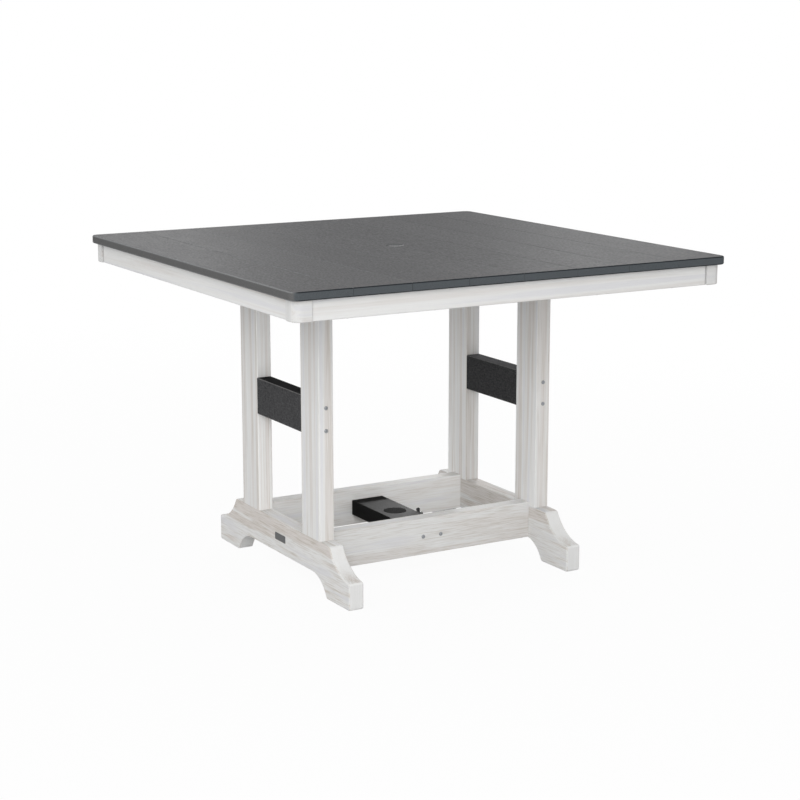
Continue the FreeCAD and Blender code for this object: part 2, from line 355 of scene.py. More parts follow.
# All faces smooth, so that the weighted normals round only the eased edges
def makeSmoothNodes():
    group = bpy.data.node_groups.new("allSmooth", "GeometryNodeTree")
    group.interface.new_socket("Geometry", in_out="INPUT", socket_type="NodeSocketGeometry")
    group.interface.new_socket("Geometry", in_out="OUTPUT", socket_type="NodeSocketGeometry")
    start = group.nodes.new("NodeGroupInput")
    smooth = group.nodes.new("GeometryNodeSetShadeSmooth")
    end = group.nodes.new("NodeGroupOutput")
    group.links.new(start.outputs[0], smooth.inputs[0])
    group.links.new(smooth.outputs[0], end.inputs[0])
    return group


allSmooth = makeSmoothNodes()
easeKit = {"weldReach": 0.00001, "flatAngle": 1, "edgeAngle": 25, "segments": 3}


# Rounds a node's edges over, with its own mesh left as it is
def easeEdges(node, width):
    weld = node.modifiers.new("weld", "WELD")
    weld.merge_threshold = easeKit["weldReach"]
    flatten = node.modifiers.new("flatFaces", "DECIMATE")
    flatten.decimate_type = "DISSOLVE"
    flatten.angle_limit = math.radians(easeKit["flatAngle"])
    ease = node.modifiers.new("easedEdges", "BEVEL")
    ease.width = width
    ease.segments = easeKit["segments"]
    ease.limit_method = "ANGLE"
    ease.angle_limit = math.radians(easeKit["edgeAngle"])
    smooth = node.modifiers.new("smooth", "NODES")
    smooth.node_group = allSmooth
    node.modifiers.new("weighted", "WEIGHTED_NORMAL")


def dress(node, finish):
    node.data.materials.clear()
    node.data.materials.append(finish)


# Faces between each ring of points and the next; a pole, which repeats one point, gets triangles
def skinRings(work, rings):
    count = len(rings[0])
    for lower, upper in zip(rings, rings[1:]):
        for step in range(count):
            after = (step + 1) % count
            corners = [lower[step], lower[after], upper[after], upper[step]]
            work.faces.new(list(dict.fromkeys(corners)))


starPoints = 6  # of the sockets in bolts and screws


# A ring of points for each (radius, height, lobe), skinned from pole to pole; lobe makes it a star
def turnPart(work, profile, place, segments):
    rings = []
    for radius, height, lobe in profile:
        if radius == 0:
            rings.append([work.verts.new(place @ Vector((0, 0, height)))] * segments)
            continue
        ring = []
        for step in range(segments):
            angle = 2 * math.pi * step / segments
            reach = radius + lobe * math.cos(starPoints * angle)
            spot = Vector((reach * math.cos(angle), reach * math.sin(angle), height))
            ring.append(work.verts.new(place @ spot))
        rings.append(ring)
    skinRings(work, rings)


# Turns a finished bmesh into a piece that rides on a body
def layPiece(name, work, finish, body, sharp=38):
    bmesh.ops.recalc_face_normals(work, faces=work.faces)
    mesh = bpy.data.meshes.new(name)
    work.to_mesh(mesh)
    work.free()
    mesh.shade_smooth()
    mesh.set_sharp_from_angle(angle=math.radians(sharp))
    mesh.materials.append(finish)
    piece = bpy.data.objects.new(name, mesh)
    scene.collection.objects.link(piece)
    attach(piece, body)
    return piece


# Outline of a rectangle with round corners, about its middle
def roundedOutline(width, height, radius, steps=6):
    points = []
    for quarter, (x, y) in enumerate(((1, 1), (-1, 1), (-1, -1), (1, -1))):
        for step in range(steps + 1):
            turn = math.pi / 2 * (quarter + step / steps)
            reach = (x * (width / 2 - radius), y * (height / 2 - radius))
            points.append((reach[0] + radius * math.cos(turn), reach[1] + radius * math.sin(turn)))
    return points


# Rings of points skinned one to the next, closed at both ends
def stackRings(work, layers, place):
    rings = [[work.verts.new(place @ Vector(point)) for point in layer] for layer in layers]
    skinRings(work, rings)
    work.faces.new(rings[0])
    work.faces.new(rings[-1])


# Flat outlines at rising heights
def stackOutlines(work, layers, place):
    stackRings(work, [[(x, y, z) for x, y in outline] for outline, z in layers], place)


# Inset and height of each ring of a stack whose two ends are rounded over
def roundOver(length, radius, steps):
    turns = [math.pi / 2 * step / steps for step in range(steps + 1)]
    start = [(radius * (1 - math.sin(turn)), radius * (1 - math.cos(turn))) for turn in turns]
    return start + [(inset, length - height) for inset, height in reversed(start)]


# Moves each point of an outline in by its own distance
def insetOutline(points, insets):
    moved = []
    for index, ((x, y), inset) in enumerate(zip(points, insets)):
        before, after = points[index - 1], points[(index + 1) % len(points)]
        arrive = Vector((x - before[0], y - before[1])).normalized()
        leave = Vector((after[0] - x, after[1] - y)).normalized()
        outward = Vector((arrive.y + leave.y, -arrive.x - leave.x)) / (1 + arrive.dot(leave))
        moved.append((x - outward.x * inset, y - outward.y * inset))
    return moved


def arcPoints(centre, radius, first, last, steps):
    turns = [first + (last - first) * step / steps for step in range(steps + 1)]
    return [(centre[0] + radius * math.cos(turn), centre[1] + radius * math.sin(turn)) for turn in turns]


# Points that round a corner off between two places on its legs
def bend(start, corner, end, steps=5):
    legs = (start, corner, end)
    points = []
    for step in range(steps + 1):
        t = step / steps
        weights = ((1 - t) ** 2, 2 * t * (1 - t), t ** 2)
        points.append(tuple(sum(w * p[axis] for w, p in zip(weights, legs)) for axis in (0, 1)))
    return points


# Stands a part's own +Z along a direction at a place
def standing(place, direction):
    return Matrix.Translation(place) @ Vector(direction).to_track_quat("Z", "Y").to_matrix().to_4x4()


# Top boards
slateTop = {
    "face": paint(88, 88, 89),
    # The long sides are painted lighter than the sawn ends: painted reflection
    "narrowSide": paint(92, 92, 92),
    "sawnEnd": paint(76, 80, 83),
    # Painted shade, a dark line along the end edges of the top
    "endArris": paint(40, 43, 46),
    # The seams' eased edges, painted lighter by the seam tones to cancel their shade: painted light
    "longArris": paint(87, 88, 89),
    "outerReach": 0.556, "grain": 1, "wideFace": 2,
    "speckleSize": 0.0016, "speckle": 0.22, "fleckSize": (0.0032, 0.01), "fleck": 0.36, "mottle": 0.03,
    "roughness": 0.5, "sideDullness": 0.1, "specular": 0.006, "reliefDepth": 0.00012, "edge": 0.0006,
}
boardsOwn = {  # from left to right
    "tones": (1.0, 1.03, 0.985, 1.015, 0.99, 1.02, 0.98, 1.01),
    # Painted light on the seams' eased edges, strongest on the left boards
    "seamTones": (1.6, 1.6, 1.5, 1.3, 1.1, 1.0, 0.97, 0.97),  # eased edges along the seams
    # Painted highlight along the left and right edges of the top
    "outerArris": paint(121, 122, 123),  # left and right edges of the top
    # Painted shade in the seams where two ends meet
    "endSeams": {  # upright corners where two ends meet
        2: paint(36, 37, 38), 3: paint(26, 27, 28), 4: paint(58, 60, 62),
        5: paint(56, 58, 60), 6: paint(70, 72, 74), 7: paint(58, 60, 62),
    },
    "seedStep": 2.3,
}
for number, tone in enumerate(boardsOwn["tones"], 1):
    boardKit = dict(slateTop, face=shade(slateTop["face"], tone))
    boardKit["longArris"] = shade(slateTop["longArris"], boardsOwn["seamTones"][number - 1])
    if number in boardsOwn["endSeams"]:
        boardKit["endSeam"] = boardsOwn["endSeams"][number]
    else:
        boardKit["outerArris"] = boardsOwn["outerArris"]
    board = nodes["top_board_%d" % number]
    dress(board, darkFinish("slateBoard%d" % number, boardKit, number * boardsOwn["seedStep"]))
    easeEdges(board, slateTop["edge"])
print("top boards dressed")

# White planks: which way grain and broad face lie, how banded and streaked they are, and each plank's
# own tones, which are painted light and shade; lean is an axis, the place on it where nothing changes,
# and the change per metre from there
crossApron = {
    "grain": 0, "broad": 1, "bandWidth": 0.02, "streaks": 0.2, "warmth": 0.4, "tones": (0.945, 0.945),
}
sideApron = {
    "grain": 1, "broad": 0, "bandWidth": 0.02, "streaks": 0.25, "warmth": 0.5, "tones": (0.98, 0.98),
}
plankFamilies = {
    "apron_front": crossApron, "apron_back": crossApron,
    "apron_left": sideApron, "apron_right": sideApron,
    "stretcher": {
        "grain": 0, "broad": 1, "bandWidth": 0.022, "bandLength": 0.3,
        "streakWidth": 0.002, "streakLength": 0.06, "streaks": 0.9,
        "warmth": 0.5, "tanReach": 0.76, "lean": (2, 0.098, 1.5),
    },
    "corner_block": {
        "grain": 0, "broad": 1, "bandWidth": 0.02, "streaks": 0.3, "warmth": 0.6, "tones": (0.86, 0.86),
    },
    "post": {"grain": 2, "broad": 0, "bandWidth": 0.017, "streaks": 0.62, "warmth": 0.75},
    "foot_rail": {
        "grain": 1, "broad": 0, "bandWidth": 0.024, "bandLength": 0.26,
        "streakWidth": 0.002, "streakLength": 0.055, "streaks": 1.1,
        "warmth": 0.85, "tanReach": 0.78, "lean": (2, 0.066, -2.6),
    },
    "batten": {"grain": 0, "broad": 2, "streaks": 0.6},
    "header": {"grain": 1, "broad": 2, "streaks": 0.6},
}
# Each plank's tones are painted light and shade: lighter where little light reaches a face, darker where much
# does
plankOwn = {
    "post_front_left": {"tones": (1.01, 1.07)},
    "post_front_right": {"tones": (1.2, 1.03)},
    "post_back_left": {"tones": (1.0, 1.29)},
    "post_back_right": {"tones": (1.23, 1.03)},
    "stretcher_front": {"tones": (1.01, 1.13)},
    "stretcher_back": {"tones": (1.29, 1.13), "streaks": 0.6, "warmth": 0.25},
    "foot_rail_left": {"tones": (1.01, 1.01), "streaks": 1.2, "warmth": 1.0},
    "foot_rail_right": {"tones": (1.1, 0.97)},
}
plankKit = {
    "plainTones": (1.0, 1.0), "firstSeed": 0.6, "seedStep": 1.37, "edge": 0.001,
    "postRadius": 0.0025, "stretcherRadius": 0.0018, "endRadius": 0.0006, "endSteps": 2,
}
footKit = {
    "length": 0.6858, "height": 0.127, "tipHeight": 0.0635, "padLength": 0.1096, "thickness": 0.0381,
    "archHeight": 0.0475, "archRadius": 0.0762, "coveReach": 0.0949, "coveRadius": 0.1143,
    "archEdge": 0.002, "tipEdge": 0.004, "topEdge": 0.0012, "easeLength": 0.025, "cornerReach": 0.006,
    "arcSteps": 16, "edgeSteps": 5,
}
alongX = Matrix(((0, 0, 1, 0), (1, 0, 0, 0), (0, 1, 0, 0), (0, 0, 0, 1)))  # own x, y, z lie along y, z, x


# Side of a foot rail in y and z, with the radius of its edge at each point: pads, an arch between them,
# upright tips and a cove above each tip
def footOutline(kit):
    tip, height, tipHeight = kit["length"] / 2, kit["height"], kit["tipHeight"]
    pad, shoulder, reach = tip - kit["padLength"], tip - kit["coveReach"], kit["cornerReach"]
    radius, drop = kit["archRadius"], kit["archRadius"] - kit["archHeight"]
    spring = pad - math.sqrt(radius ** 2 - drop ** 2)
    archEnd = math.asin(drop / radius) + reach / radius
    arch = arcPoints((spring, -drop), radius, math.pi / 2, archEnd, kit["arcSteps"])
    top, low = Vector((shoulder, height)), Vector((tip, tipHeight))
    chord = low - top
    square = Vector((-chord.y, chord.x)).normalized()
    radius = kit["coveRadius"]
    centre = (top + low) / 2 + square * math.sqrt(radius ** 2 - chord.length_squared / 4)
    first = math.atan2(low.y - centre.y, low.x - centre.x) - reach / radius
    last = math.atan2(top.y - centre.y, top.x - centre.x) + reach / radius
    cove = arcPoints(centre, radius, first, last, kit["arcSteps"])
    under = arch[:-1] + bend(arch[-1], (pad, 0), (pad + reach, 0))
    front = bend((tip - reach, 0), (tip, 0), (tip, reach))
    front += bend((tip, tipHeight - reach), (tip, tipHeight), cove[0]) + cove[1:-1]
    front += bend(cove[-1], (shoulder, height), (shoulder - reach, height))
    half = [(point, kit["archEdge"]) for point in under] + [(point, kit["tipEdge"]) for point in front]
    half.append(((shoulder - reach - kit["easeLength"], height), kit["topEdge"]))
    return half + [((-y, z), radius) for (y, z), radius in reversed(half)]


# Rings of a foot rail across its thickness, its edges rounded over by their own radius at each point
def footRings(kit):
    points, radii = zip(*footOutline(kit))
    near, far = [], []
    for step in range(kit["edgeSteps"] + 1):
        turn = math.pi / 2 * step / kit["edgeSteps"]
        outline = insetOutline(points, [radius * (1 - math.sin(turn)) for radius in radii])
        depths = [radius * (1 - math.cos(turn)) for radius in radii]
        near.append([(y, z, depth) for (y, z), depth in zip(outline, depths)])
        far.append([(y, z, kit["thickness"] - depth) for (y, z), depth in zip(outline, depths)])
    return near + far[::-1]


def plankLayers(width, height, length, radius):
    layers = []
    for inset, along in roundOver(length, plankKit["endRadius"], plankKit["endSteps"]):
        layers.append((roundedOutline(width - 2 * inset, height - 2 * inset, radius - inset), along))
    return layers


# A plank in its node's place, with its long edges rounded over
def shapePlank(name, family, finish):
    low, high = (Vector(corner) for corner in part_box(name))
    middle, size = (low + high) / 2, high - low
    work = bmesh.new()
    if family == "foot_rail":
        stackRings(work, footRings(footKit), Matrix.Translation((low.x, 0, 0)) @ alongX)
    elif family == "stretcher":
        layers = plankLayers(size.y, size.z, size.x, plankKit["stretcherRadius"])
        stackOutlines(work, layers, Matrix.Translation((low.x, middle.y, middle.z)) @ alongX)
    else:
        layers = plankLayers(size.x, size.y, size.z, plankKit["postRadius"])
        stackOutlines(work, layers, Matrix.Translation((middle.x, middle.y, low.z)))
    first, *rest = name.split("_")
    pieceName = first + "".join(word.title() for word in rest)
    piece = layPiece(pieceName, work, finish, "table")
    piece.modifiers.new("weighted", "WEIGHTED_NORMAL")
    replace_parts(piece, name)


plankNames = [name for name in nodes if name.startswith(tuple(plankFamilies))]
for number, name in enumerate(plankNames):
    family = next(kind for kind in plankFamilies if name.startswith(kind))
    plank = {"tones": plankKit["plainTones"], **plankFamilies[family], **plankOwn.get(name, {})}
    if family.startswith("apron"):
        plank["jointAt"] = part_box(name)[1][plank["grain"]]
    seed = number * plankKit["seedStep"] + plankKit["firstSeed"]
    finish = whitewashedFinish("whitewash." + name, plank, seed)
    if family in ("post", "stretcher", "foot_rail"):
        shapePlank(name, family, finish)
    else:
        dress(nodes[name], finish)
        easeEdges(nodes[name], plankKit["edge"])
print("white planks dressed:", len(plankNames))

# Crossrails, with the left and the right one's own tones, and the umbrella holder. The rails' tones are
# painted light and shade: the left rail's face lighter and its top darker, the right rail's face darker and
# its top lighter
charcoalRail = {
    "face": paint(66, 66, 67),
    "narrowSide": paint(60, 60, 61),
    "sawnEnd": paint(60, 60, 61),
    # Painted highlight along the rails' long edges
    "longArris": paint(108, 108, 108),
    # Face tones and top tones are painted light and shade, left rail then right rail
    "grain": 1, "wideFace": 0, "tones": (1.12, 0.9), "narrowTones": (0.5, 2.7),
    "speckleSize": 0.0018, "speckle": 0.25, "fleckSize": (0.004, 0.007), "fleck": 0.35, "mottle": 0.08,
    "roughness": 0.55, "sideDullness": 0.0, "specular": 0.001, "reliefDepth": 0.00015,
    "edge": 0.0006, "firstSeed": 21.4, "seedStep": 3.1,
}
blackHolder = {
    "face": paint(24, 24, 24),
    "narrowSide": paint(28, 28, 28),
    "sawnEnd": paint(28, 28, 28),
    # Painted light on the bore's inner wall, lighter than the holder's black
    "boreWall": paint(70, 70, 70), "boreRadius": 0.028575,
    "grain": 1, "wideFace": 2,
    "speckleSize": 0.0016, "speckle": 0.5, "fleckSize": (0.0035, 0.006), "fleck": 0.5, "mottle": 0.2,
    "roughness": 0.5, "sideDullness": 0.3, "specular": 0.012, "reliefDepth": 0.0001,
    "edge": 0.0005, "seed": 31.7,
}
for number, name in enumerate(("crossrail_left", "crossrail_right")):
    railKit = dict(charcoalRail, face=shade(charcoalRail["face"], charcoalRail["tones"][number]))
    railKit["narrowSide"] = shade(charcoalRail["narrowSide"], charcoalRail["narrowTones"][number])
    seed = charcoalRail["firstSeed"] + number * charcoalRail["seedStep"]
    dress(nodes[name], darkFinish("charcoal." + name, railKit, seed))
    easeEdges(nodes[name], charcoalRail["edge"])
dress(nodes["umbrella_holder"], darkFinish("blackHolder", blackHolder, blackHolder["seed"]))
easeEdges(nodes["umbrella_holder"], blackHolder["edge"])
print("crossrails and umbrella holder dressed")

# Plug and threaded insert keep their CAD shape
plugKit = {
    # rim is a painted highlight on the plug's slanted edge
    "colour": paint(80, 81, 82), "rim": paint(196, 196, 196),
    "roughness": 0.5, "specular": 0.006, "edge": 0.0008,
}
insertKit = {"colour": (0.62, 0.43, 0.18, 1.0), "roughness": 0.35, "wear": 0.12, "edge": 0.0004}
dress(nodes["umbrella_plug"], mouldedFinish("plugPlastic", plugKit))
easeEdges(nodes["umbrella_plug"], plugKit["edge"])
dress(nodes["clamp_insert"], metalFinish("insertBrass", insertKit))
easeEdges(nodes["clamp_insert"], insertKit["edge"])
print("plug and insert dressed")

# Bolts: low domed heads with a star socket, replacing the plain CAD bolts
boltKit = {
    "headRadius": 0.0048, "headHeight": 0.0025, "rim": 0.0005, "shankRadius": 0.00397,
    "socketRadius": 0.0019, "socketLobe": 0.0003, "socketDepth": 0.0015, "segments": 36,
    "railBoltLength": 0.1339, "holderBoltLength": 0.0831,
    "railBoltX": 0.2974, "railBoltY": 0.2032, "railBoltZ": (0.3866, 0.4398),
    "holderBoltX": 0.0243, "holderBoltY": 0.1778, "holderBoltZ": 0.09195,
    "colour": paint(146, 149, 152), "roughness": 0.42, "wear": 0.1, "metallic": 0.25,
}
domeKit = {  # shares are of the shank's or the socket's radius
    "tipShare": 0.7, "tipLength": 0.0012, "crownShare": 1.35, "rounds": 7,
    "lip": 0.0001, "wallShare": 0.97, "wallTop": 0.0003,
    "floorShare": 0.92, "coneShare": 0.4, "coneDepth": 0.0002,
}
boltSteel = metalFinish("boltSteel", boltKit)


# Profile of a domed head over a shank, from the shank's tip to the bottom of the socket
def domedBolt(kit, length):
    radius, height = kit["headRadius"], kit["headHeight"]
    shank, rim, socket = kit["shankRadius"], kit["rim"], kit["socketRadius"]
    profile = [(0, -length, 0), (shank * domeKit["tipShare"], -length, 0)]
    profile += [(shank, -length + domeKit["tipLength"], 0), (shank, 0, 0)]
    profile += [(radius, 0, 0), (radius, rim, 0)]
    crown = socket * domeKit["crownShare"]
    for step in range(1, domeKit["rounds"] + 1):
        turn = math.pi / 2 * step / domeKit["rounds"]
        reach = crown + (radius - crown) * math.cos(turn)
        profile.append((reach, rim + (height - rim) * math.sin(turn), 0))
    lobe, floor = kit["socketLobe"], height - kit["socketDepth"]
    deepest = floor - domeKit["coneDepth"]
    profile += [(socket, height - domeKit["lip"], lobe)]
    profile += [(socket * domeKit["wallShare"], height - domeKit["wallTop"], lobe)]
    profile += [(socket * domeKit["floorShare"], floor, lobe)]
    profile += [(socket * domeKit["coneShare"], deepest, 0), (0, deepest, 0)]
    return profile


railBolts = bmesh.new()
holderBolts = bmesh.new()
railProfile = domedBolt(boltKit, boltKit["railBoltLength"])
holderProfile = domedBolt(boltKit, boltKit["holderBoltLength"])
for y in sides:
    outward = (0, y, 0)
    for x in sides:
        for z in boltKit["railBoltZ"]:
            seat = (x * boltKit["railBoltX"], y * boltKit["railBoltY"], z)
            turnPart(railBolts, railProfile, standing(seat, outward), boltKit["segments"])
        seat = (x * boltKit["holderBoltX"], y * boltKit["holderBoltY"], boltKit["holderBoltZ"])
        turnPart(holderBolts, holderProfile, standing(seat, outward), boltKit["segments"])
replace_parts(layPiece("crossrailBoltHeads", railBolts, boltSteel, "table"), "crossrail_bolts")
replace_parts(layPiece("holderBoltHeads", holderBolts, boltSteel, "table"), "holder_bolts")
print("bolts laid")

# Bare plate on the outside of the left foot rail, with a rim round its slightly sunk face
plateKit = {
    "centre": (-0.31645, 0.0, 0.08725), "width": 0.053, "height": 0.0175, "thickness": 0.001,
    "cornerRadius": 0.0018, "leastCorner": 0.0003, "rim": 0.0012, "sunk": 0.0002, "round": 0.0002,
    "colour": paint(96, 97, 98), "roughness": 0.45, "wear": 0.08,
}
plate = bmesh.new()
plateTop, plateRim = plateKit["thickness"], plateKit["rim"]
plateLayers = []
for inset, height in (
    (0, 0),
    (0, plateTop - plateKit["round"]),
    (plateKit["round"], plateTop),
    (plateRim, plateTop),
    (plateRim + plateKit["sunk"], plateTop - plateKit["sunk"]),
):
    corner = max(plateKit["cornerRadius"] - inset, plateKit["leastCorner"])
    outline = roundedOutline(plateKit["width"] - 2 * inset, plateKit["height"] - 2 * inset, corner)
    plateLayers.append((outline, height))
# Width along -Y, height along +Z, outward -X
plateTurn = Matrix(((0, 0, -1, 0), (-1, 0, 0, 0), (0, 1, 0, 0), (0, 0, 0, 1)))
stackOutlines(plate, plateLayers, Matrix.Translation(plateKit["centre"]) @ plateTurn)
layPiece("barePlate", plate, metalFinish("plateMetal", plateKit), "table")
print("bare plate laid")

# Threaded stud of the thumbscrew
studKit = {
    "start": 0.030075, "end": 0.07195, "axisZ": 0.09195, "radius": 0.00394, "threadDepth": 0.00062,
    "pitch": 0.0014111, "flankSteepness": 1.5, "crest": 0.25, "taper": 0.0014,
    "stepsPerTurn": 8, "segments": 32, "sharpAngle": 60,
    "colour": paint(168, 168, 166), "roughness": 0.3, "wear": 0.1,
}


# The thread runs out at both ends of the stud
def threadRadius(x, turn):
    phase = (x / studKit["pitch"] - turn) % 1.0
    rise = min(1.0, max(0.0, abs(phase - 0.5) * 2 * studKit["flankSteepness"] - studKit["crest"]))
    taper = min(1.0, (x - studKit["start"]) / studKit["taper"], (studKit["end"] - x) / studKit["taper"])
    depth = studKit["threadDepth"]
    return studKit["radius"] - depth + depth * (1 - rise) * max(0.0, taper)


stud = bmesh.new()
studLength = studKit["end"] - studKit["start"]
ringCount = round(studLength / studKit["pitch"] * studKit["stepsPerTurn"])
threadRings = []
for ring in range(ringCount + 1):
    x = studKit["start"] + studLength * ring / ringCount
    points = []
    for step in range(studKit["segments"]):
        turn = step / studKit["segments"]
        reach = threadRadius(x, turn)
        angle = 2 * math.pi * turn
        points.append((x, reach * math.cos(angle), studKit["axisZ"] + reach * math.sin(angle)))
    threadRings.append(points)
stackRings(stud, threadRings, Matrix.Identity(4))
studSteel = metalFinish("studSteel", studKit)
threadedStud = layPiece("threadedStud", stud, studSteel, "stud", studKit["sharpAngle"])
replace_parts(threadedStud, "clamp_stud")
print("threaded stud laid")

# Winged knob: hub, two wings and dished lobes, melted into one moulding
knobKit = {
    "foot": (0.05995, 0.0, 0.09195), "wingAngle": 20, "hubRadius": 0.006, "hubLength": 0.019,
    "hubEdge": 0.0004, "hubEdgeTop": 0.0005,
    "crown": ((0.97, 0.0016), (0.8, 0.0003), (0.5, 0.0)),  # share of hubRadius, drop from hubLength
    "socketRadius": 0.00403, "socketDepth": 0.012,
    "wingPosition": 0.009, "wingRoot": 0.0048, "wingReach": 0.012, "wingThickness": 0.0044, "webShare": 0.8,
    "rootWidth": 0.009, "neckWidth": 0.005, "lobeRadius": 0.00475, "dish": 0.0008,
    "dishRings": ((0.0, 1.0), (0.45, 0.8), (0.7, 0.0), (0.88, 0.0)),  # share of lobeRadius, share of dish
    "lobeEdge": 0.75, "hubSegments": 40, "lobeSegments": 32,
    "voxel": 0.00038, "smoothing": 4, "softness": 0.5, "sharpAngle": 180,
    "colour": paint(34, 34, 35), "roughness": 0.42, "specular": 0.4,
}
wingLean = math.radians(knobKit["wingAngle"])
knobTurn = Matrix((
    (0, 0, 1, 0),
    (math.sin(wingLean), -math.cos(wingLean), 0, 0),
    (math.cos(wingLean), math.sin(wingLean), 0, 0),
    (0, 0, 0, 1),
))
knobPlace = Matrix.Translation(knobKit["foot"]) @ knobTurn
wingTurn = Matrix(((1, 0, 0, 0), (0, 0, -1, 0), (0, 1, 0, 0), (0, 0, 0, 1)))  # outline in the wing's plane
knob = bmesh.new()
hub, length = knobKit["hubRadius"], knobKit["hubLength"]
socket, depth = knobKit["socketRadius"], knobKit["socketDepth"]
hubProfile = [(0, depth, 0), (socket, depth, 0), (socket, 0, 0)]
hubProfile += [(hub - knobKit["hubEdge"], 0, 0), (hub, knobKit["hubEdgeTop"], 0)]
hubProfile += [(hub * share, length - drop, 0) for share, drop in knobKit["crown"]] + [(0, length, 0)]
turnPart(knob, hubProfile, knobPlace, knobKit["hubSegments"])
half, middle = knobKit["wingThickness"] / 2, knobKit["wingPosition"]
root, neck = knobKit["rootWidth"] / 2, knobKit["neckWidth"] / 2
lobe, dish = knobKit["lobeRadius"], knobKit["dish"]
lobeFace = [(lobe * share, half - dish * sunk, 0) for share, sunk in knobKit["dishRings"]]
lobeFace.append((lobe, half * knobKit["lobeEdge"], 0))
lobeProfile = lobeFace + [(radius, -height, star) for radius, height, star in reversed(lobeFace)]
for side in (1, -1):
    inner, outer = side * knobKit["wingRoot"], side * knobKit["wingReach"]
    outline = [(inner, middle - root), (outer, middle - neck), (outer, middle + neck), (inner, middle + root)]
    web = half * knobKit["webShare"]
    stackOutlines(knob, [(outline, -web), (outline, web)], knobPlace @ wingTurn)
    lobePlace = knobPlace @ Matrix.Translation((outer, 0, middle)) @ wingTurn
    turnPart(knob, lobeProfile, lobePlace, knobKit["lobeSegments"])
knobPlastic = mouldedFinish("knobPlastic", knobKit)
wingKnob = layPiece("wingKnob", knob, knobPlastic, "knob", knobKit["sharpAngle"])
melt = wingKnob.modifiers.new("melt", "REMESH")
melt.mode = "VOXEL"
melt.voxel_size = knobKit["voxel"]
melt.use_smooth_shade = True
soften = wingKnob.modifiers.new("soften", "SMOOTH")
soften.factor = knobKit["softness"]
soften.iterations = knobKit["smoothing"]
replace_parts(wingKnob, "clamp_knob")
print("wing knob laid")

# Screws under the table, one piece for each family
screwKit = {
    "headRadius": 0.0042, "headHeight": 0.0019, "rim": 0.0004, "shankRadius": 0.0022, "bite": 0.004,
    "socketRadius": 0.0014, "socketLobe": 0.0002, "socketDepth": 0.001, "segments": 24,
    "colour": paint(150, 151, 150), "roughness": 0.38, "wear": 0.1,
}
lagKit = dict(
    screwKit, headRadius=0.0068, headHeight=0.0036, rim=0.0012, shankRadius=0.004,
    socketRadius=0.0023, socketLobe=0.0004, socketDepth=0.002,
)
screwSteel = metalFinish("screwSteel", screwKit)


def layScrews(name, kit, seats):
    work = bmesh.new()
    for seat in seats:
        turnPart(work, domedBolt(kit, kit["bite"]), standing(seat, (0, 0, -1)), kit["segments"])
    layPiece(name, work, screwSteel, "table")


underTop = {
    "battenY": (-0.29845, 0.0, 0.29845), "battenUnderside": 0.7324,
    "battenX": (0.05, 0.095, 0.185, 0.23, 0.365, 0.395, 0.465, 0.495), "stagger": 0.024,
    "headerX": 0.2974, "headerUnderside": 0.707, "headerGap": 0.025,
    "apronUnderside": 0.70545, "apronLine": 0.5321, "apronSpots": (-0.42, -0.21, 0.0, 0.21, 0.42),
    "blockLine": 0.5293,
}
battenSeats = []
for y in underTop["battenY"]:
    for number, x in enumerate(underTop["battenX"]):
        drop = underTop["stagger"] if number % 2 else -underTop["stagger"]
        battenSeats += [(side * x, y + drop, underTop["battenUnderside"]) for side in sides]
layScrews("battenScrews", screwKit, battenSeats)
gap = underTop["headerGap"]
headerSeats = [
    (side * underTop["headerX"] + across * gap, y + along * gap, underTop["headerUnderside"])
    for side in sides for y in underTop["battenY"] for across in sides for along in sides
]
layScrews("headerScrews", screwKit, headerSeats)
apronSeats = []
for side in sides:
    line, z = side * underTop["apronLine"], underTop["apronUnderside"]
    for spot in underTop["apronSpots"]:
        apronSeats += [(spot, line, z), (line, spot, z)]
    apronSeats += [(side * underTop["blockLine"], along * underTop["blockLine"], z) for along in sides]
layScrews("apronScrews", screwKit, apronSeats)

underBase = {
    "archTop": 0.0475, "legX": 0.2974, "lagY": (0.126, 0.153),
    "stretcherX": 0.262, "stretcherY": 0.15875, "pair": 0.011,
}
archTop = underBase["archTop"]
lagSeats = [
    (x * underBase["legX"], y * spot, archTop)
    for x in sides for y in sides for spot in underBase["lagY"]
]
layScrews("footRailLags", lagKit, lagSeats)
stretcherSeats = [
    (x * underBase["stretcherX"], y * underBase["stretcherY"] + step * underBase["pair"], archTop)
    for x in sides for y in sides for step in sides
]
layScrews("stretcherScrews", screwKit, stretcherSeats)
screwSeats = battenSeats + headerSeats + apronSeats + lagSeats + stretcherSeats
print("screws laid:", len(screwSeats))

# Floor: pale and matt, white to the camera, and still darkened by the table's shadow
stageKit = {
    "floorSize": 60.0, "floorDrop": 0.0004, "floorPaint": (0.65, 0.65, 0.65, 1.0),
    "white": (1, 1, 1, 1), "skyStrength": 0.785,
    "whiteShare": 0.95, "shadowReach": 1.6, "whiteReach": 4.0,
}


# Rays that should meet a plain white room: straight from the camera, or by way of gloss or glass
def whiteRays(tree):
    rays = put(tree, "ShaderNodeLightPath").outputs
    seen = sums(tree, "ADD", rays["Is Camera Ray"], rays["Is Glossy Ray"])
    return sums(tree, "ADD", seen, rays["Is Transmission Ray"], clamp=True)


